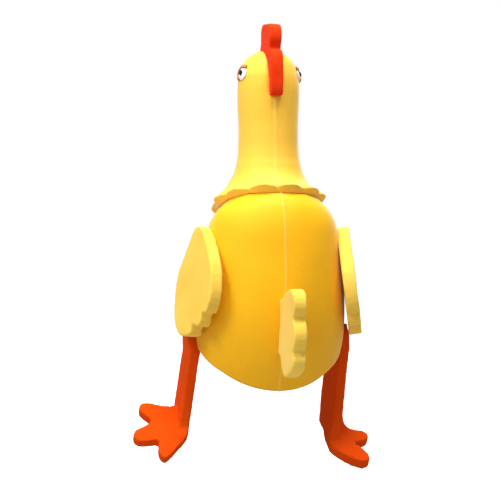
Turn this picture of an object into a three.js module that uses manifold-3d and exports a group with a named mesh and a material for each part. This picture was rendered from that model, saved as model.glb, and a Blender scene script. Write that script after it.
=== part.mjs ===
// Rubber chicken foam hat: a hollow foam body that sits on a head, with a long neck, comb, wings, tail
// and legs. Millimetres, +Z up. The chicken faces -Y, its left is +X. The origin is the crown of the
// hollow, where the wearer's head touches the foam.
import * as THREE from "three";
import Module from "manifold-3d";
import { mergeVertices } from "three/addons/utils/BufferGeometryUtils.js";

const wasm = await Module();
wasm.setup();

// ---- Driving dimensions ----
const GAP = 0.3; // between pieces that are glued together
const WALL = 12; // foam of the body and neck
const WING_FOAM = 15;
const TAIL_FOAM = 15;
const LEG_FOAM = 13;
const COMB_FOAM = 14;

// The body's outside: [height, half width, back, front, middle], each a level section of the dome.
const BODY_SECTIONS = [
  [12, 1, 27, 25, 26],
  [10, 24, 45, 6, 26],
  [4, 45, 64, -12, 26],
  [-6, 58, 74, -26, 26],
  [-20, 70, 80, -44, 26],
  [-40, 78, 84, -70, 23],
  [-75, 85, 87, -98, 13],
  [-110, 89.5, 88, -113, 4],
  [-140, 91, 86, -118, 0],
  [-165, 90, 81, -118, 0],
  [-190, 85, 72, -112, 0],
  [-210, 77, 63, -104, 0],
  [-232, 66, 53, -95, 0],
];
// The rim seen from the side: [y, z] from the forehead to the nape.
const RIM = [
  [-160, -86],
  [-112, -106],
  [-60, -137],
  [0, -168],
  [40, -202],
  [58, -226],
  [75, -252],
];
const NECK_PROFILE = [
  [44.5, 30.5],
  [41.5, 35],
  [37.5, 46],
  [36, 62],
  [36, 90],
  [37, 115],
  [37.5, 132],
  [36.5, 147],
  [32.5, 160],
  [25, 170],
  [13, 177],
];
const NECK_TOP = 179;
const NECK_FOOT = 24; // height of the nod axis, at the tip of the cone under the neck
const SKIRT_TOP = 23.6;
// Half section of the skirt: down its upper face, across its cut edge and back up its lower face.
const SKIRT_PROFILE = [
  [33, 11], [39, 10], [46, 6], [51, 0.5], [56, -6], [60.5, -11.5], [67.5, -2.5], [60.5, 5],
  [54, 11.5], [49, 17], [46, SKIRT_TOP], [33, SKIRT_TOP], [33, 11],
];
const SKIRT_BORE = 33.5;
const SKIRT_NECK = 44; // inside this radius the skirt is level
const SKIRT_REACH = 67; // mean radius of the scalloped edge
const SKIRT_SLOPE = { back: 0.24, front: 0.4 }; // the free edge rises towards the back
const SCALLOPS = 12;
const SCALLOP_DEPTH = 2.6;
const SCALLOP_TURN = -0.08; // sets a notch just beside the back seam

// The comb from the side: [forward is negative, height], starting at its lower end behind the head.
const COMB_OUTLINE = [
  [43, 120], [46, 126], [46.5, 140], [47, 158], [45.5, 167], [41, 173], [34, 174.5], [35, 179],
  [38.5, 184], [39.5, 193], [37, 201], [30, 205], [22, 206], [14, 206], [6, 209], [-4, 208],
  [-10, 202], [-11, 186], [-16, 178], [-26, 177], [-36, 171], [-42, 161], [-42, 154], [-36, 151],
  [-30, 156], [-20, 163], [0, 168], [18, 165], [28, 152], [33, 140], [34, 121],
];
const COMB_SEAT = 2; // the slot is this much deeper than the comb

const BEAK_UPPER = {
  width: 36,
  outline: [[-26, 146], [-40, 147], [-62, 140], [-82, 128], [-84, 124], [-62, 125], [-26, 126]],
};
const BEAK_LOWER = {
  width: 30,
  outline: [[-26, 121], [-52, 119], [-72, 108], [-73, 104], [-56, 104], [-26, 108]],
};
const BEAK_TIP = { reach: 88, shoulder: 78, halfWidth: 8, root: 45 };
const TONGUE = {
  width: 12,
  outline: [[-30, 124.4], [-58, 123.6], [-62, 122.4], [-57, 121.4], [-30, 121.8]],
};
const WATTLE = {
  width: 8,
  aside: 6,
  outline: [[-38, 100], [-46, 100], [-50, 86], [-52, 72], [-47, 62], [-40, 66], [-38, 82]],
};

// Each eye is a flattened ball on the side of the head, turned up by its tilt and back by its yaw.
const EYE = { out: 33, z: 148, radius: 10.5, flat: 0.44, tilt: 0.25, yaw: 0.3 };
const PUPIL = { radius: 3.2, flat: 0.5, proud: 0.6 };
const LID = { foam: 1.6, flat: 0.6, low: -1, turn: 0.9, opening: 7.4 };

const WING_YAW = 0.28;
const WING_LEAN = 0.12;
const WING_TOP = { x: 84.5, y: 28, z: -35 };
const WING_HINGE = 26; // how far below its top the wing leaves the body
const WING_OUTLINE = [
  [-7, 0], [-21, 21], [-34, 43], [-41, 66], [-42, 87], [-38, 106], [-29, 120], [-17, 127],
  [0, 127], [11, 124], [13, 113], [25, 115], [33, 109], [34, 99], [43, 98], [49, 88],
  [51, 72], [48, 53], [38, 34], [22, 13], [8, 0],
];

const TAIL_OUTLINE = [
  [95, -117], [108, -110], [124, -105], [138, -104], [148, -109], [152, -118], [151, -128],
  [144, -136], [151, -142], [154, -152], [152, -164], [144, -173], [148, -180], [144, -190],
  [132, -197], [116, -202], [104, -203], [94, -194], [86, -181], [60, -172], [60, -120],
];
const TAIL_HINGE = 96;
const TAIL_SWING_ROOM = 2.2; // clears the root's corners when the tail wags

const LEG_WIDTH = 40;
const LEG = {
  left: { x: 92, lean: 0.15, yaw: -0.06, heel: -279, instep: -257 },
  right: { x: 89.5, lean: -0.115, yaw: 0.18, heel: -298, instep: -272 },
};
const LEG_TOP = -150;
const LEG_HINGE = -180;
const LEG_FRONT = -30;
const LEG_SWING_ROOM = 2; // each side of the bend
// Each sole: how far it is pitched up at the front, and its outline as [outward, forward] from the heel.
const FOOT = {
  left: {
    pitch: 0.85,
    outline: [
      [0, 2], [2, -4], [13, -17], [25, -30], [31, -34], [36.5, -29], [37.5, -19], [36, -9],
      [49, -10], [60, -9.5], [65, -3], [62.5, 4.5], [53, 9.5], [42, 18], [50, 27], [55, 34],
      [53.5, 41], [45, 43], [30, 39], [18, 37], [8, 40], [0, 41],
    ],
  },
  right: {
    pitch: 0.6,
    outline: [
      [0, 2], [2, -6], [13, -20], [24, -29], [33, -33], [41, -31], [43.5, -24], [40, -15],
      [35, -7], [30.5, -1], [42, 2], [50, 7], [51, 13], [47, 18], [40, 21], [31, 24], [27, 32],
      [28, 47], [27, 61], [21, 68], [14, 63], [11, 48], [5, 36], [0, 30],
    ],
  },
};
const FAR = 400; // beyond every piece, for cutting solids

// ---- Materials ----
function foam(color) {
  return new THREE.MeshStandardMaterial({ color, roughness: 0.95, metalness: 0 });
}
const YELLOW = 0xffc400;
const PALE = 0xf8d45c;
const RED = 0xf03010;
const ORANGE = 0xe04a08;
const WHITE = 0xffffff;
const BLACK = 0x111111;
const SALMON = 0xd07040;

// ---- Solids ----
function solid(geometry) {
  const bare = geometry.clone();
  bare.deleteAttribute("normal");
  bare.deleteAttribute("uv");
  const merged = mergeVertices(bare, 1e-3);
  return new wasm.Manifold(
    new wasm.Mesh({
      numProp: 3,
      vertProperties: new Float32Array(merged.attributes.position.array),
      triVerts: new Uint32Array(merged.index.array),
    }),
  );
}

function toGeometry(made) {
  const mesh = made.getMesh();
  const geometry = new THREE.BufferGeometry();
  geometry.setAttribute("position", new THREE.BufferAttribute(new Float32Array(mesh.vertProperties), 3));
  geometry.setIndex(new THREE.BufferAttribute(new Uint32Array(mesh.triVerts), 1));
  geometry.computeVertexNormals();
  return geometry;
}

function box(x0, x1, y0, y1, z0, z1) {
  const geometry = new THREE.BoxGeometry(x1 - x0, y1 - y0, z1 - z0);
  geometry.translate((x0 + x1) / 2, (y0 + y1) / 2, (z0 + z1) / 2);
  return solid(geometry);
}

// A flat slab with a smooth outline, standing on its local XY plane and centred on its thickness.
function slab(points, thickness, steps = 2, smooth = true) {
  const outline = new THREE.Shape();
  if (smooth) {
    const curve = new THREE.CatmullRomCurve3(
      points.map(([x, y]) => new THREE.Vector3(x, y, 0)),
      true,
      "centripetal",
    );
    const round = curve.getPoints(points.length * steps).slice(0, -1);
    outline.setFromPoints(round.map((p) => new THREE.Vector2(p.x, p.y)));
  } else {
    outline.setFromPoints(points.map(([x, y]) => new THREE.Vector2(x, y)));
  }
  const geometry = new THREE.ExtrudeGeometry(outline, { depth: thickness, bevelEnabled: false });
  geometry.translate(0, 0, -thickness / 2);
  return geometry;
}

// A section value at any height, read between the listed sections.
function bodySection(z) {
  const rows = BODY_SECTIONS;
  if (z >= rows[0][0]) {
    return rows[0];
  }
  for (let i = 1; i < rows.length; i += 1) {
    if (z >= rows[i][0]) {
      const t = (rows[i - 1][0] - z) / (rows[i - 1][0] - rows[i][0]);
      return rows[i].map((value, k) => rows[i - 1][k] + (value - rows[i - 1][k]) * t);
    }
  }
  return rows[rows.length - 1];
}

// The dome as a lathe whose round sections are made longer to the front and back, and grown by an offset.
function dome(offset, segments = 48) {
  const [crown] = BODY_SECTIONS[0];
  const [bottom] = BODY_SECTIONS[BODY_SECTIONS.length - 1];
  const sides = BODY_SECTIONS.map(([z, halfWidth]) => new THREE.Vector2(halfWidth, z));
  const profile = [new THREE.Vector2(0, crown), ...sides, new THREE.Vector2(0, bottom)].reverse();
  const geometry = new THREE.LatheGeometry(profile, segments);
  geometry.rotateX(Math.PI / 2);
  const position = geometry.attributes.position;
  for (let i = 0; i < position.count; i += 1) {
    const z = position.getZ(i);
    const [, halfWidth, back, front, middle] = bodySection(z);
    const x = position.getX(i) / halfWidth;
    const y = position.getY(i) / halfWidth;
    const onAxis = Math.hypot(x, y) < 1e-6;
    const lift = offset * Math.max(0, Math.min(1, (z + 50) / 56));
    const grown = Math.max(0.5, halfWidth + offset);
    const reach = Math.max(0.5, y > 0 ? back - middle + offset : middle - front + offset);
    position.setXYZ(i, onAxis ? 0 : x * grown, onAxis ? middle : middle + y * reach, z + lift);
  }
  return solid(geometry);
}

// Everything above the rim's curve.
function aboveRim() {
  const curve = new THREE.CatmullRomCurve3(RIM.map(([y, z]) => new THREE.Vector3(y, z, 0)));
  const points = curve.getPoints(24).map((p) => [p.x, p.y]);
  points.push([FAR, -250], [FAR, FAR], [-160, FAR]);
  const geometry = slab(points, FAR, 1, false);
  geometry.rotateY(Math.PI / 2);
  geometry.rotateX(Math.PI / 2);
  return solid(geometry);
}

function half(made, side) {
  const edge = GAP / 2;
  const [x0, x1] = side > 0 ? [edge, FAR] : [-FAR, -edge];
  return made.intersect(box(x0, x1, -FAR, FAR, -FAR, FAR));
}

const group = new THREE.Group();
group.name = "rubber_chicken_hat";

function add(name, made, color) {
  const mesh = new THREE.Mesh(toGeometry(made), foam(color));
  mesh.name = name;
  group.add(mesh);
}

// ---- Body ----
const bodyShell = dome(0).subtract(dome(-WALL)).intersect(aboveRim());
const bodyRoom = [[GAP, 0, 0], [-GAP, 0, 0], [0, 0, -GAP]]
  .map((shift) => bodyShell.translate(shift))
  .reduce((all, moved) => all.add(moved));
add("body_shell_left", half(bodyShell, 1), YELLOW);
add("body_shell_right", half(bodyShell, -1), YELLOW);

// ---- Skirt: a scalloped foam collar that lies on the top of the dome ----
function latheGeometry(profile, segments) {
  const geometry = new THREE.LatheGeometry(profile.map(([r, z]) => new THREE.Vector2(r, z)), segments);
  geometry.rotateX(Math.PI / 2);
  return geometry;
}
function lathe(profile, segments) {
  return solid(latheGeometry(profile, segments));
}
// The skirt's free edge follows the dome, which is higher at the back than at the front.
function draped(geometry) {
  const position = geometry.attributes.position;
  for (let i = 0; i < position.count; i += 1) {
    const x = position.getX(i);
    const y = position.getY(i);
    const free = Math.max(0, (Math.hypot(x, y) - SKIRT_NECK) / (SKIRT_REACH - SKIRT_NECK));
    const slope = y > 0 ? SKIRT_SLOPE.back : SKIRT_SLOPE.front;
    position.setZ(i, position.getZ(i) + slope * y * free);
  }
  return geometry;
}
function scalloped(geometry) {
  const position = geometry.attributes.position;
  for (let i = 0; i < position.count; i += 1) {
    const x = position.getX(i);
    const y = position.getY(i);
    const radius = Math.hypot(x, y);
    const free = Math.max(0, (radius - SKIRT_NECK) / (SKIRT_REACH - SKIRT_NECK));
    const angle = Math.atan2(x, y);
    const wave = Math.abs(Math.sin(((angle + SCALLOP_TURN) * SCALLOPS) / 2)) ** 0.7 - 0.6;
    const grow = 1 + (SCALLOP_DEPTH * 2 * wave * free ** 3) / radius;
    position.setX(i, x * grow);
    position.setY(i, y * grow);
  }
  return geometry;
}
const flareGeometry = latheGeometry(SKIRT_PROFILE, 96);
const flare = solid(draped(scalloped(flareGeometry)));
const seatTop = 18;
const neckSeat = lathe([[0, -FAR], [SKIRT_NECK, -FAR], [SKIRT_NECK, seatTop], [0, seatTop]], 40);
const skirtBore = lathe([[0, -2 * FAR], [SKIRT_BORE, -2 * FAR], [SKIRT_BORE, FAR], [0, FAR]], 40);
const aboveDome = box(-FAR, FAR, -FAR, FAR, -70, FAR);
const skirt = flare.add(neckSeat).intersect(aboveDome).subtract(dome(GAP)).subtract(skirtBore);
add("neck_skirt_left", half(skirt, 1), YELLOW);
add("neck_skirt_right", half(skirt, -1), YELLOW);

// ---- Neck and head: a hollow shell closed at the top ----
// Its lower end is a shallow cone, which leaves room for the neck to nod on the skirt.
const outsideProfile = [[0, NECK_FOOT], ...NECK_PROFILE, [0, NECK_TOP]];
const insideProfile = [
  [0, 20],
  [NECK_PROFILE[0][0] - WALL, 20],
  ...NECK_PROFILE.slice(0, 9).map(([r, z]) => [r - WALL, z]),
  [0, 164],
];
const neckShell = lathe(outsideProfile, 40).subtract(lathe(insideProfile, 40));

// ---- Comb: a red slab seated in a slot over the head ----
function upright(points, thickness, steps = 2) {
  const geometry = slab(points, thickness, steps);
  geometry.rotateX(Math.PI / 2);
  geometry.rotateZ(Math.PI / 2);
  return geometry;
}
add("comb", solid(upright(COMB_OUTLINE, COMB_FOAM)), RED);
const combRoom = solid(upright(COMB_OUTLINE, COMB_FOAM + 2 * GAP));
const combSlot = combRoom.add(combRoom.translate([0, 0, COMB_SEAT])).add(combRoom.translate([0, 0, -GAP]));
const head = neckShell.subtract(combSlot);
add("neck_shell_left", half(head, 1), YELLOW);
add("neck_shell_right", half(head, -1), YELLOW);

// ---- Beak: two wedges on the front of the head, with the tongue between them ----
const headBlank = lathe(outsideProfile.map(([r, z]) => [r === 0 ? 0 : r + GAP, z]), 40);
function beakHalf({ width, outline }) {
  const root = width / 2;
  const plan = [
    [-root, 0], [1 - root, -BEAK_TIP.root], [-BEAK_TIP.halfWidth, -BEAK_TIP.shoulder], [0, -BEAK_TIP.reach],
    [BEAK_TIP.halfWidth, -BEAK_TIP.shoulder], [root - 1, -BEAK_TIP.root], [root, 0],
  ];
  return solid(upright(outline, width)).intersect(solid(slab(plan, FAR, 2))).subtract(headBlank);
}
const beakUpper = beakHalf(BEAK_UPPER);
const beakLower = beakHalf(BEAK_LOWER).subtract(beakUpper.translate([0, 0, -GAP]));
const beaks = beakUpper.add(beakLower);
const beakRoom = beaks.translate([0, 0, GAP]).add(beaks.translate([0, 0, -GAP])).add(beaks);
add("beak_upper", beakUpper, ORANGE);
add("beak_lower", beakLower, ORANGE);
const tongue = solid(upright(TONGUE.outline, TONGUE.width, 1));
add("tongue", tongue.subtract(headBlank).subtract(beakRoom), RED);

// ---- Eyes and lids ----
// A ball flattened along the way that the eye faces.
function ball(radius, flat, center) {
  const geometry = new THREE.SphereGeometry(radius, 20, 12);
  geometry.scale(flat, 1, 1);
  geometry.rotateY(-EYE.tilt);
  geometry.rotateZ(EYE.yaw);
  geometry.translate(center.x, center.y, center.z);
  return solid(geometry);
}
function eyePieces() {
  const facing = new THREE.Vector3(1, 0, 0).applyEuler(new THREE.Euler(0, -EYE.tilt, EYE.yaw, "ZYX"));
  const center = new THREE.Vector3(EYE.out * Math.cos(EYE.yaw), EYE.out * Math.sin(EYE.yaw), EYE.z);
  const whiteRoom = ball(EYE.radius + GAP, EYE.flat + 0.05, center);
  const white = ball(EYE.radius, EYE.flat, center).subtract(headBlank);

  const pupilPlace = center.clone().addScaledVector(facing, EYE.radius * EYE.flat + PUPIL.proud);
  const pupil = ball(PUPIL.radius, PUPIL.flat, pupilPlace).subtract(whiteRoom).subtract(headBlank);

  // The lid is a crescent over the upper front of the eye.
  const upperFront = new THREE.BoxGeometry(FAR, FAR, FAR);
  upperFront.translate(0, 0, FAR / 2 + LID.low);
  upperFront.rotateX(LID.turn);
  upperFront.translate(center.x, center.y, center.z);
  const lid = ball(EYE.radius + LID.foam, LID.flat, center)
    .intersect(solid(upperFront))
    .subtract(whiteRoom)
    .subtract(headBlank)
    .subtract(ball(LID.opening, 1, pupilPlace));
  return { eye_white: [white, WHITE], pupil: [pupil, BLACK], eyelid: [lid, SALMON] };
}
for (const [name, [made, color]] of Object.entries(eyePieces())) {
  add(`${name}_left`, made, color);
  add(`${name}_right`, made.mirror([1, 0, 0]), color);
}

// ---- Wattles ----
for (const side of [1, -1]) {
  const wattle = solid(upright(WATTLE.outline, WATTLE.width)).translate([side * WATTLE.aside, 0, 0]);
  add(`wattle_${side > 0 ? "left" : "right"}`, wattle.subtract(headBlank).subtract(beakRoom), RED);
}

// ---- Wings: the top strip is glued to the body and the rest flaps ----
function wingPiece(moving) {
  const points = WING_OUTLINE.map(([s, t]) => [s, -t]);
  const whole = solid(slab(points, WING_FOAM, 2));
  const cut = moving
    ? box(-FAR, FAR, -FAR, -WING_HINGE - GAP / 2, -FAR, FAR)
    : box(-FAR, FAR, -WING_HINGE + GAP / 2, FAR, -FAR, FAR);
  return whole.intersect(cut);
}
function placedWing(moving, side) {
  const geometry = toGeometry(wingPiece(moving));
  // Local X runs to the back, local Y up the plate, local Z through its thickness.
  geometry.rotateX(Math.PI / 2);
  geometry.rotateZ(Math.PI / 2);
  geometry.rotateY(-WING_LEAN);
  geometry.rotateZ(WING_YAW);
  geometry.translate(WING_TOP.x, WING_TOP.y, WING_TOP.z);
  const made = solid(geometry).subtract(dome(GAP));
  return side > 0 ? made : made.mirror([1, 0, 0]);
}

// ---- Legs and feet ----
// A strip of the leg between two heights; its lower end can slope up to the front, where the foot joins.
function legPlate(top, bottomBack, bottomFront) {
  const back = LEG_FRONT + LEG_WIDTH;
  const points = [[LEG_FRONT, top], [back, top], [back, bottomBack], [LEG_FRONT, bottomFront]];
  const geometry = slab(points, LEG_FOAM, 1, false);
  geometry.rotateX(Math.PI / 2);
  geometry.rotateZ(Math.PI / 2);
  return geometry;
}
function placeLeg(geometry, setting, side) {
  const middle = LEG_FRONT + LEG_WIDTH / 2;
  geometry.translate(0, -middle, -LEG_HINGE);
  geometry.rotateY(-setting.lean);
  geometry.rotateZ(-setting.yaw);
  geometry.translate(setting.x, middle, LEG_HINGE);
  const made = solid(geometry);
  return side > 0 ? made : made.mirror([1, 0, 0]);
}
function footGeometry({ pitch, outline }) {
  const geometry = slab(outline, LEG_FOAM, 2);
  // Local X points outward, local Y runs forward and up along the pitched sole.
  geometry.rotateX(Math.PI - pitch);
  return geometry;
}

for (const side of [1, -1]) {
  const name = side > 0 ? "left" : "right";
  const setting = LEG[name];
  add(`wing_root_${name}`, placedWing(false, side), PALE);
  const wing = placedWing(true, side);
  add(`wing_${name}`, wing, PALE);
  const wingRoom = wing.add(wing.translate([-2 * GAP * side, 0, 0]));

  const tabSetting = { ...setting, lean: 0 };
  const tabEnd = LEG_HINGE + LEG_SWING_ROOM;
  const tab = placeLeg(legPlate(LEG_TOP, tabEnd, tabEnd), tabSetting, side);
  add(`leg_tab_${name}`, tab.subtract(bodyRoom).subtract(wingRoom), ORANGE);

  const legTop = LEG_HINGE - LEG_SWING_ROOM;
  const leg = placeLeg(legPlate(legTop, setting.heel, setting.instep), setting, side);
  add(`leg_${name}`, leg, ORANGE);

  const foot = footGeometry(FOOT[name]);
  const down = LEG_HINGE - setting.heel;
  const halfWidth = LEG_WIDTH / 2;
  const outward = Math.sin(setting.lean) * down + Math.sin(setting.yaw) * halfWidth;
  const heelX = setting.x + outward - LEG_FOAM / 2;
  foot.translate(heelX, LEG_FRONT + LEG_WIDTH, setting.heel);
  const placedFoot = side > 0 ? solid(foot) : solid(foot).mirror([1, 0, 0]);
  const legRoom = [[GAP * side, 0, 0], [-GAP * side, 0, 0], [0, 0, -GAP]]
    .map((shift) => leg.translate(shift))
    .reduce((all, moved) => all.add(moved));
  add(`foot_${name}`, placedFoot.subtract(legRoom), ORANGE);
}

// ---- Tail ----
function tailPiece(moving) {
  const whole = solid(upright(TAIL_OUTLINE, TAIL_FOAM));
  const cut = moving
    ? box(-FAR, FAR, TAIL_HINGE + TAIL_SWING_ROOM, FAR, -FAR, FAR)
    : box(-FAR, FAR, 0, TAIL_HINGE - GAP / 2, -FAR, FAR);
  return whole.intersect(cut).subtract(dome(GAP));
}
add("tail_root", tailPiece(false), PALE);
add("tail", tailPiece(true), PALE);

export default group;
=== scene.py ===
import math

import bmesh
import bpy
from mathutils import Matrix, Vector, noise


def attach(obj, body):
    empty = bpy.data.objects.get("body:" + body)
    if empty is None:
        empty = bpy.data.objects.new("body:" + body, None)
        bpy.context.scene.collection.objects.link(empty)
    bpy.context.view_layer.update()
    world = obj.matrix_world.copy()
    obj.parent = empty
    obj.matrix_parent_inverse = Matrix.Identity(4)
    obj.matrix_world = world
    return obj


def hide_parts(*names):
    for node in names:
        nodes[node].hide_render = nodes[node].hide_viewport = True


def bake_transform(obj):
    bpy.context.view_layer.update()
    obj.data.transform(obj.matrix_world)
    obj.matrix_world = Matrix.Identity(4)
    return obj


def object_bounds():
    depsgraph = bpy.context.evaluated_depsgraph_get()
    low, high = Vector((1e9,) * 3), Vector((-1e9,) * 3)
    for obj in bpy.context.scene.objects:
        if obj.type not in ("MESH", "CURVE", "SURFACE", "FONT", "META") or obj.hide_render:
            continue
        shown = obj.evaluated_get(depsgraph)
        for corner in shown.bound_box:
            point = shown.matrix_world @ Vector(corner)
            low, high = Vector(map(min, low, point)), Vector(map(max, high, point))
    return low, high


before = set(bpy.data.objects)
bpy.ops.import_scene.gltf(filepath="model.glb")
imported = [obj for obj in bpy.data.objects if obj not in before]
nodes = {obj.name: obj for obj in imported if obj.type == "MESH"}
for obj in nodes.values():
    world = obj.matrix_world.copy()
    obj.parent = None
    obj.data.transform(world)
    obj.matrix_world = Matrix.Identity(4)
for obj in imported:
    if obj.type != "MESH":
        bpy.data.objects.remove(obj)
cad_low, cad_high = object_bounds()

MM = 0.001

# ---- Sizes, in millimetres ----
WALL = 12
# Level sections of the body's outside: height, half width, back, front, middle.
BODY_SECTIONS = [
    (12, 1, 27, 25, 26),
    (10, 24, 45, 6, 26),
    (4, 45, 64, -12, 26),
    (-6, 58, 74, -26, 26),
    (-20, 70, 80, -44, 26),
    (-40, 78, 84, -70, 23),
    (-75, 85, 87, -98, 13),
    (-110, 89.5, 88, -113, 4),
    (-140, 91, 86, -118, 0),
    (-165, 90, 81, -118, 0),
    (-190, 85, 72, -112, 0),
    (-210, 77, 63, -104, 0),
    (-232, 66, 53, -95, 0),
]
# The rim from the side: (y, z) from the forehead to the nape.
RIM = [(-160, -86), (-112, -106), (-60, -137), (0, -168), (40, -202), (58, -226), (75, -252)]
LIP_ROUND = 1.6
# The foam's inside drops away from the outside above this height, and in full this far above it.
INNER_DROP_FROM = -50
INNER_DROP_OVER = 56
CROWN_Y = 26
CROWN_Z = 12.1

# The glued seam up the back: a proud, paler line beside a shallow groove.
SEAM_WIDTH = 1.1
SEAM_DEPTH = 0.2
SEAM_EDGE = 0.75
SEAM_FADE = 9
SEAM_WANDER = 0.7
SEAM_TONE = (1.0, 0.82, 0.3, 1)
SEAM_STRENGTH = 0.2
# How closely the dome's mesh is crowded toward the seam at the back, 0 to 1.
SEAM_CROWDING = 0.6

# The neck where it spreads into the skirt: the outside of the foam between the two, as (radius, height).
NECK_FILL = [(47.4, 20), (45.4, 26), (43.6, 31), (41.4, 36)]
NECK_BORE = 33.5
NECK_WAIST = 2.2
NECK_WAIST_HEIGHT = 31
NECK_WAIST_SPREAD = 7
NECK_SEAM = (12, 150)
# The neck's skin is rounded above this height and inside this radius, so the skirt's cut edge stays crisp.
SKIRT_TOP = 14
SKIRT_TOP_FADE = 8
SKIRT_INSIDE = 56
SKIRT_INSIDE_FADE = 6

CAMERA_AZIMUTH = 167.5
CAMERA_DISTANCE = 1500
CAMERA_HEIGHT = -61
CAMERA_ASIDE = -22
CAMERA_LENS = 90
FLOOR_BELOW = 13
AMBIENT = 0.36
FLOOR_GLOW = 0.94
FLOOR_GREY = 0.4
FLOOR_RADIUS = 8


# ---- Mesh helpers ----
def make_object(name, vertices, faces):
    mesh = bpy.data.meshes.new(name)
    mesh.from_pydata([Vector(v) * MM for v in vertices], [], faces)
    mesh.update()
    obj = bpy.data.objects.new(name, mesh)
    bpy.context.scene.collection.objects.link(obj)
    return obj


def joined(name, parts):
    """One object from copies of CAD nodes and other objects, each moved by an offset in millimetres."""
    made = bmesh.new()
    for source, offset in parts:
        mesh = source.data.copy()
        mesh.transform(source.matrix_world)
        for vertex in mesh.vertices:
            vertex.co += Vector(offset) * MM
        made.from_mesh(mesh)
        bpy.data.meshes.remove(mesh)
    mesh = bpy.data.meshes.new(name)
    made.to_mesh(mesh)
    made.free()
    obj = bpy.data.objects.new(name, mesh)
    bpy.context.scene.collection.objects.link(obj)
    return obj


def apply_modifiers(obj):
    evaluated = obj.evaluated_get(bpy.context.evaluated_depsgraph_get())
    mesh = bpy.data.meshes.new_from_object(evaluated)
    obj.modifiers.clear()
    old = obj.data
    obj.data = mesh
    bpy.data.meshes.remove(old)


def smoothed(obj, passes, weights=""):
    smooth = obj.modifiers.new("Round", "SMOOTH")
    smooth.factor = 0.5
    smooth.iterations = passes
    smooth.vertex_group = weights
    apply_modifiers(obj)


def remeshed(obj, voxel, passes):
    """The piece as one even skin, with its cut edges rounded as soft foam."""
    remesh = obj.modifiers.new("Skin", "REMESH")
    remesh.mode = "VOXEL"
    remesh.voxel_size = voxel * MM
    apply_modifiers(obj)
    smoothed(obj, passes)


def uneven(obj, amount, size, seed):
    """Slow waves in the surface, because cut and glued foam is never quite flat."""
    normals = [v.normal.copy() for v in obj.data.vertices]
    shift = Vector((seed * 7.3, seed * 3.1, seed * 5.7))
    for vertex, normal in zip(obj.data.vertices, normals):
        vertex.co += normal * noise.noise(vertex.co / (size * MM) + shift) * amount * MM
    obj.data.update()


def seam(obj, low, high):
    """Raises and marks the glued seam in the plane x = 0 between two heights."""
    normals = [v.normal.copy() for v in obj.data.vertices]
    line = obj.data.attributes.new("seam", "FLOAT", "POINT")
    for vertex, normal in zip(obj.data.vertices, normals):
        if low * MM < vertex.co.z < high * MM:
            wander = SEAM_WANDER * MM * noise.noise(Vector((0, 0, vertex.co.z * 18)))
            near = (vertex.co.x - wander) / (SEAM_WIDTH * MM)
            groove = SEAM_DEPTH * math.exp(-((near - 2) ** 2))
            edge = math.exp(-near * near)
            fade = min(1.0, (vertex.co.z / MM - low) / SEAM_FADE, (high - vertex.co.z / MM) / SEAM_FADE)
            line.data[vertex.index].value = edge * fade
            vertex.co += normal * MM * fade * (SEAM_EDGE * edge - groove)
    obj.data.update()


def finish_piece(obj, material, replaced):
    obj.data.materials.clear()
    obj.data.materials.append(material)
    for polygon in obj.data.polygons:
        polygon.use_smooth = True
    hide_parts(*replaced)
    return obj


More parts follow.
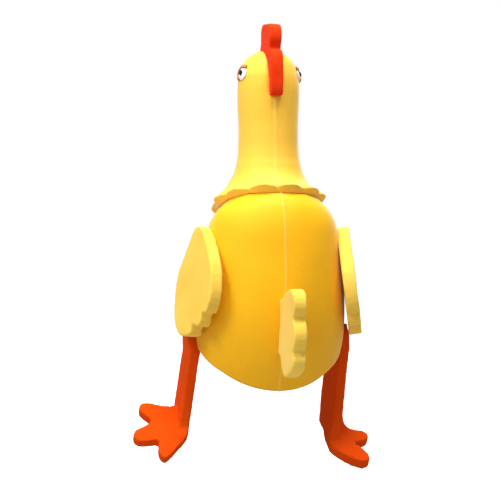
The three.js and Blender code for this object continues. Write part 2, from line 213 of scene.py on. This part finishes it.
# ---- Materials ----
def foam(name, light, dark, cell=0.9, relief=0.35, sheen=0.12, gloss=(0.92, 0.08)):
    """Fine-celled foam: small pits, and a slow drift between two tones. Gloss is (roughness, specular)."""
    material = bpy.data.materials.new(name)
    material.use_nodes = True
    tree = material.node_tree
    shader = tree.nodes["Principled BSDF"]
    shader.inputs["Roughness"].default_value = gloss[0]
    shader.inputs["Specular IOR Level"].default_value = gloss[1]
    shader.inputs["Sheen Weight"].default_value = sheen
    shader.inputs["Sheen Roughness"].default_value = 0.3
    place = tree.nodes.new("ShaderNodeTexCoord")

    drift = tree.nodes.new("ShaderNodeTexNoise")
    drift.inputs["Scale"].default_value = 14
    drift.inputs["Detail"].default_value = 3
    cells = tree.nodes.new("ShaderNodeTexVoronoi")
    cells.inputs["Scale"].default_value = 1 / (cell * MM)
    grain = tree.nodes.new("ShaderNodeTexNoise")
    grain.inputs["Scale"].default_value = 0.6 / (cell * MM)
    grain.inputs["Detail"].default_value = 4
    for texture in (drift, cells, grain):
        tree.links.new(place.outputs["Object"], texture.inputs["Vector"])

    tone = tree.nodes.new("ShaderNodeMix")
    tone.data_type = "RGBA"
    tone.inputs["A"].default_value = (*dark, 1)
    tone.inputs["B"].default_value = (*light, 1)
    spread = tree.nodes.new("ShaderNodeMapRange")
    spread.inputs["From Min"].default_value = 0.3
    spread.inputs["From Max"].default_value = 0.7
    tree.links.new(drift.outputs["Fac"], spread.inputs["Value"])
    tree.links.new(spread.outputs["Result"], tone.inputs["Factor"])

    speck = tree.nodes.new("ShaderNodeMix")
    speck.data_type = "RGBA"
    speck.blend_type = "MULTIPLY"
    speck.inputs["Factor"].default_value = 0.35
    shade = tree.nodes.new("ShaderNodeMapRange")
    shade.inputs["From Min"].default_value = 0.25
    shade.inputs["From Max"].default_value = 0.75
    shade.inputs["To Min"].default_value = 0.75
    shade.inputs["To Max"].default_value = 1.1
    tree.links.new(grain.outputs["Fac"], shade.inputs["Value"])
    tree.links.new(tone.outputs["Result"], speck.inputs["A"])
    tree.links.new(shade.outputs["Result"], speck.inputs["B"])

    # The glued seam shows as a paler line.
    line = tree.nodes.new("ShaderNodeAttribute")
    line.attribute_name = "seam"
    fainter = tree.nodes.new("ShaderNodeMath")
    fainter.operation = "MULTIPLY"
    fainter.inputs[1].default_value = SEAM_STRENGTH
    tree.links.new(line.outputs["Fac"], fainter.inputs[0])
    lined = tree.nodes.new("ShaderNodeMix")
    lined.data_type = "RGBA"
    lined.inputs["B"].default_value = SEAM_TONE
    tree.links.new(fainter.outputs[0], lined.inputs["Factor"])
    tree.links.new(speck.outputs["Result"], lined.inputs["A"])
    tree.links.new(lined.outputs["Result"], shader.inputs["Base Color"])

    pits = tree.nodes.new("ShaderNodeBump")
    pits.inputs["Strength"].default_value = relief
    pits.inputs["Distance"].default_value = 0.4 * MM
    tree.links.new(cells.outputs["Distance"], pits.inputs["Height"])
    rough = tree.nodes.new("ShaderNodeBump")
    rough.inputs["Strength"].default_value = relief
    rough.inputs["Distance"].default_value = 0.5 * MM
    tree.links.new(grain.outputs["Fac"], rough.inputs["Height"])
    tree.links.new(pits.outputs["Normal"], rough.inputs["Normal"])
    tree.links.new(rough.outputs["Normal"], shader.inputs["Normal"])
    return material


YELLOW = foam("yellow_foam", (1.0, 0.53, 0.003), (0.97, 0.47, 0.001), sheen=0.4, gloss=(0.6, 0.25))
# The head and neck foam is paler than the body's: partly a paler foam, partly painted light. Its raised blue
# is a painted highlight standing in for the top lamp's pale light on the head.
HEAD_YELLOW_PAINTED_TOP_LIGHT = foam("head_foam_painted_top_light", (1.0, 0.6, 0.065), (0.98, 0.55, 0.045), sheen=0.5, gloss=(0.6, 0.25))
PALE = foam("pale_foam", (0.95, 0.65, 0.11), (0.9, 0.57, 0.07), sheen=0.2)
ORANGE = foam("orange_foam", (0.78, 0.075, 0.001), (0.68, 0.055, 0.001), sheen=0.0)
RED = foam("red_foam", (0.88, 0.055, 0.006), (0.78, 0.035, 0.003), sheen=0.04)
WHITE = foam("eye_foam", (0.88, 0.88, 0.86), (0.8, 0.8, 0.78), 0.6, 0.15)
BLACK = foam("pupil_foam", (0.015, 0.014, 0.014), (0.008, 0.008, 0.008), 0.6, 0.15)
LID = foam("eyelid_foam", (0.62, 0.2, 0.07), (0.52, 0.15, 0.05), 0.6, 0.2)


# ---- Body: a hollow dome made from its level sections ----
def smooth_between(rows, u):
    """A Catmull-Rom value of the listed rows at u, where u counts rows."""
    i = min(int(u), len(rows) - 2)
    t = u - i
    before, a, b, after = (rows[min(max(k, 0), len(rows) - 1)] for k in (i - 1, i, i + 1, i + 2))
    out = []
    for p, q, r, s in zip(before, a, b, after):
        out.append(
            0.5 * (2 * q + (r - p) * t + (2 * p - 5 * q + 4 * r - s) * t**2 + (3 * q - p - 3 * r + s) * t**3)
        )
    return out


def rim_height(y):
    for (y0, z0), (y1, z1) in zip(RIM, RIM[1:]):
        if y <= y1:
            return z0 + (z1 - z0) * (y - y0) / (y1 - y0)
    return RIM[-1][1]


def dome_point(u, angle, inset):
    """A point of the dome's skin: u counts sections down from the crown, angle 0 is the back."""
    z, half, back, front, middle = smooth_between(BODY_SECTIONS, u)
    across, along = math.sin(angle), math.cos(angle)
    reach = back - middle if along > 0 else middle - front
    drop = inset * max(0.0, min(1.0, (z - INNER_DROP_FROM) / INNER_DROP_OVER))
    return (
        across * max(0.3, half - inset),
        middle + along * max(0.3, reach - inset),
        z - drop,
    )


def lowest_section(angle, inset):
    """How many sections down the rim's curve meets the skin."""
    low, high = 1.0, len(BODY_SECTIONS) - 1.0
    for _ in range(30):
        u = (low + high) / 2
        _, y, z = dome_point(u, angle, inset)
        low, high = (u, high) if z > rim_height(y) else (low, u)
    return (low + high) / 2


def build_body():
    around, rows, lip = 160, 90, 7
    vertices, faces = [], []
    for j in range(around):
        turn = j / around * 2 * math.pi
        angle = turn - SEAM_CROWDING * math.sin(turn)
        ends = [lowest_section(angle, inset) for inset in (0, WALL)]
        ring = [dome_point(ends[0] * k / rows, angle, 0) for k in range(rows + 1)]
        outer, inner = (Vector(dome_point(end, angle, inset)) for end, inset in zip(ends, (0, WALL)))
        down = Vector((0, 0, -1))
        for k in range(1, lip):
            t = k / lip
            ring.append(tuple(outer.lerp(inner, t) + down * LIP_ROUND * math.sin(math.pi * t)))
        ring += [dome_point(ends[1] * (1 - k / rows), angle, WALL) for k in range(rows + 1)]
        vertices += ring
    count = len(vertices) // around
    for j in range(around):
        for k in range(count - 1):
            a, b = j * count + k, ((j + 1) % around) * count + k
            faces.append((a, a + 1, b + 1, b))
    crown = len(vertices)
    vertices.append((0, CROWN_Y, CROWN_Z))
    vertices.append((0, CROWN_Y, CROWN_Z - WALL))
    for j in range(around):
        a, b = j * count, ((j + 1) % around) * count
        faces.append((crown, a, b))
        faces.append((crown + 1, b + count - 1, a + count - 1))
    obj = make_object("body", vertices, faces)
    mesh = bmesh.new()
    mesh.from_mesh(obj.data)
    bmesh.ops.recalc_face_normals(mesh, faces=mesh.faces)
    mesh.to_mesh(obj.data)
    mesh.free()
    seam(obj, -300, 20)
    uneven(obj, 0.7, 45, 1)
    finish_piece(obj, YELLOW, ["body_shell_left", "body_shell_right"])
    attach(obj, "hat")


def ring_solid(name, profile, bore):
    """A ring of foam that fills the gap at a bend: its outside is a list of (radius, height)."""
    around = 64
    section = profile + [(bore, profile[-1][1]), (bore, profile[0][1])]
    count = len(section)
    vertices, faces = [], []
    for j in range(around):
        angle = j / around * 2 * math.pi
        vertices += [(radius * math.sin(angle), radius * math.cos(angle), z) for radius, z in section]
        a, b = j * count, ((j + 1) % around) * count
        for k in range(count):
            k2 = (k + 1) % count
            faces.append((a + k, a + k2, b + k2, b + k))
    return make_object(name, vertices, faces)


def build_neck():
    names = ["neck_shell_left", "neck_shell_right", "neck_skirt_left", "neck_skirt_right"]
    filler = ring_solid("neck_filler", NECK_FILL, NECK_BORE)
    parts = [(nodes[n], (0, 0, 0)) for n in names] + [(filler, (0, 0, 0))]
    obj = joined("neck_and_head", parts)
    bpy.data.objects.remove(filler)
    remeshed(obj, 1.6, 2)
    for vertex in obj.data.vertices:
        far = (vertex.co.z / MM - NECK_WAIST_HEIGHT) / NECK_WAIST_SPREAD
        pull = NECK_WAIST * MM * math.exp(-far * far)
        out = Vector((vertex.co.x, vertex.co.y, 0))
        if out.length > (NECK_BORE + 5) * MM:
            vertex.co -= out.normalized() * pull
    weights = obj.vertex_groups.new(name="neck")
    for vertex in obj.data.vertices:
        radius = math.hypot(vertex.co.x, vertex.co.y) / MM
        above = (vertex.co.z / MM - SKIRT_TOP) / SKIRT_TOP_FADE
        inside = (SKIRT_INSIDE - radius) / SKIRT_INSIDE_FADE
        weights.add([vertex.index], max(0.0, min(1.0, above, inside)), "REPLACE")
    smoothed(obj, 24, "neck")
    obj.vertex_groups.clear()
    seam(obj, *NECK_SEAM)
    uneven(obj, 0.6, 40, 2)
    finish_piece(obj, HEAD_YELLOW_PAINTED_TOP_LIGHT, names)
    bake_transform(obj)


# ---- Slabs that bend where they are glued ----
# A node listed again with a small offset fills the gap between two CAD nodes, so that the skin is one piece.
def build_bending(name, names, parts, material, voxel=1.6, passes=3, seed=3):
    obj = joined(name, parts)
    remeshed(obj, voxel, passes)
    uneven(obj, 0.7, 30, seed)
    finish_piece(obj, material, names)
    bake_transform(obj)


def build_limbs():
    for number, (side, letter) in enumerate((("left", "l"), ("right", "r"))):
        sign = 1 if side == "left" else -1
        root, wing = nodes[f"wing_root_{side}"], nodes[f"wing_{side}"]
        build_bending(
            f"wing_{side}_foam",
            [f"wing_root_{side}", f"wing_{side}"],
            [(root, (0, 0, 0)), (wing, (0, 0, 0)), (root, (sign * 0.1, 0, -0.8))],
            PALE,
            seed=5 + number,
        )
        tab, leg, foot = (nodes[f"{part}_{side}"] for part in ("leg_tab", "leg", "foot"))
        build_bending(
            f"leg_{side}_foam",
            [f"leg_tab_{side}", f"leg_{side}", f"foot_{side}"],
            [
                (tab, (0, 0, 0)), (leg, (0, 0, 0)), (foot, (0, 0, 0)),
                (tab, (0, 0, -4.6)), (foot, (0, 0, 0.6)), (leg, (0, 0, -0.8)),
            ],
            ORANGE,
            seed=8 + number,
        )
    build_bending(
        "tail_foam",
        ["tail_root", "tail"],
        [(nodes["tail_root"], (0, 0, 0)), (nodes["tail"], (0, 0, 0)), (nodes["tail_root"], (0, 3, 0))],
        PALE,
        seed=11,
    )


# ---- Pieces fixed to the head ----
def build_head_piece(name, material, voxel, passes, seed):
    obj = joined(f"{name}_foam", [(nodes[name], (0, 0, 0))])
    remeshed(obj, voxel, passes)
    uneven(obj, min(0.5, voxel * 0.3), 20, seed)
    finish_piece(obj, material, [name])
    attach(obj, "head")


def build_face():
    build_head_piece("comb", RED, 1.4, 3, 20)
    build_head_piece("beak_upper", ORANGE, 1.1, 6, 21)
    build_head_piece("beak_lower", ORANGE, 1.1, 6, 22)
    build_head_piece("tongue", RED, 0.5, 2, 23)
    for side in ("left", "right"):
        build_head_piece(f"wattle_{side}", RED, 1.0, 5, 24)
        build_head_piece(f"eye_white_{side}", WHITE, 0.6, 6, 25)
        build_head_piece(f"pupil_{side}", BLACK, 0.3, 3, 26)
        build_head_piece(f"eyelid_{side}", LID, 0.5, 3, 27)


# ---- Floor, light and camera ----
def area_light(name, place, aim, size, watts):
    data = bpy.data.lights.new(name, "AREA")
    data.shape = "SQUARE"
    data.size = size
    data.energy = watts
    lamp = bpy.data.objects.new(name, data)
    bpy.context.scene.collection.objects.link(lamp)
    lamp.location = place
    lamp.rotation_euler = (Vector(aim) - Vector(place)).to_track_quat("-Z", "Y").to_euler()


def build_backdrop():
    """Plain white behind the hat, and a dimmer even light from all round."""
    bpy.context.scene.view_settings.view_transform = "Standard"
    world = bpy.data.worlds.new("studio")
    bpy.context.scene.world = world
    world.use_nodes = True
    tree = world.node_tree
    background = tree.nodes["Background"]
    background.inputs["Color"].default_value = (1, 1, 1, 1)
    background.inputs["Strength"].default_value = AMBIENT
    backdrop = tree.nodes.new("ShaderNodeBackground")
    rays = tree.nodes.new("ShaderNodeLightPath")
    choose = tree.nodes.new("ShaderNodeMixShader")
    tree.links.new(rays.outputs["Is Camera Ray"], choose.inputs[0])
    tree.links.new(background.outputs[0], choose.inputs[1])
    tree.links.new(backdrop.outputs[0], choose.inputs[2])
    tree.links.new(choose.outputs[0], tree.nodes["World Output"].inputs[0])
    backdrop.inputs["Color"].default_value = (1, 1, 1, 1)


def build_floor():
    """A plain floor that looks white to the camera, but lights the hat no more than a grey one does."""
    bpy.ops.mesh.primitive_circle_add(vertices=96, radius=FLOOR_RADIUS, fill_type="NGON")
    floor = bpy.context.object
    floor.name = "floor"
    floor.location = (0, 0, cad_low.z - FLOOR_BELOW * MM)
    paint = bpy.data.materials.new("floor_paint")
    paint.use_nodes = True
    shader = paint.node_tree.nodes["Principled BSDF"]
    shader.inputs["Base Color"].default_value = (FLOOR_GREY, FLOOR_GREY, FLOOR_GREY, 1)
    shader.inputs["Roughness"].default_value = 0.9
    shader.inputs["Emission Color"].default_value = (1, 1, 1, 1)
    seen = paint.node_tree.nodes.new("ShaderNodeLightPath")
    glow = paint.node_tree.nodes.new("ShaderNodeMath")
    glow.operation = "MULTIPLY"
    glow.inputs[1].default_value = FLOOR_GLOW
    paint.node_tree.links.new(seen.outputs["Is Camera Ray"], glow.inputs[0])
    paint.node_tree.links.new(glow.outputs[0], shader.inputs["Emission Strength"])
    floor.data.materials.append(paint)


def build_lights(back, right):
    area_light("key", back * 1.0 - right * 1.1 + Vector((0, 0, 1.2)), (0, 0, -0.05), 0.8, 24)
    area_light("top", (0, 0.35, 1.4), (0, 0, 0), 0.8, 34)
    area_light("front_fill", right * 0.6 - back * 1.3 + Vector((0, 0, 0.5)), (0, 0, -0.05), 1.0, 9)


def build_camera(back, right):
    camera = bpy.data.objects.new("camera", bpy.data.cameras.new("camera"))
    bpy.context.scene.collection.objects.link(camera)
    camera.data.lens = CAMERA_LENS
    camera.data.sensor_width = 36
    level = Vector((0, 0, CAMERA_HEIGHT * MM))
    camera.location = back * CAMERA_DISTANCE * MM + right * CAMERA_ASIDE * MM + level
    camera.rotation_mode = "QUATERNION"
    camera.rotation_quaternion = (-back).to_track_quat("-Z", "Y")
    bpy.context.scene.camera = camera


def build_studio():
    build_backdrop()
    build_floor()
    azimuth = math.radians(CAMERA_AZIMUTH)
    back = Vector((math.sin(azimuth), -math.cos(azimuth), 0))
    right = Vector((math.cos(azimuth), math.sin(azimuth), 0))
    build_lights(back, right)
    build_camera(back, right)


build_body()
build_neck()
build_limbs()
build_face()
build_studio()
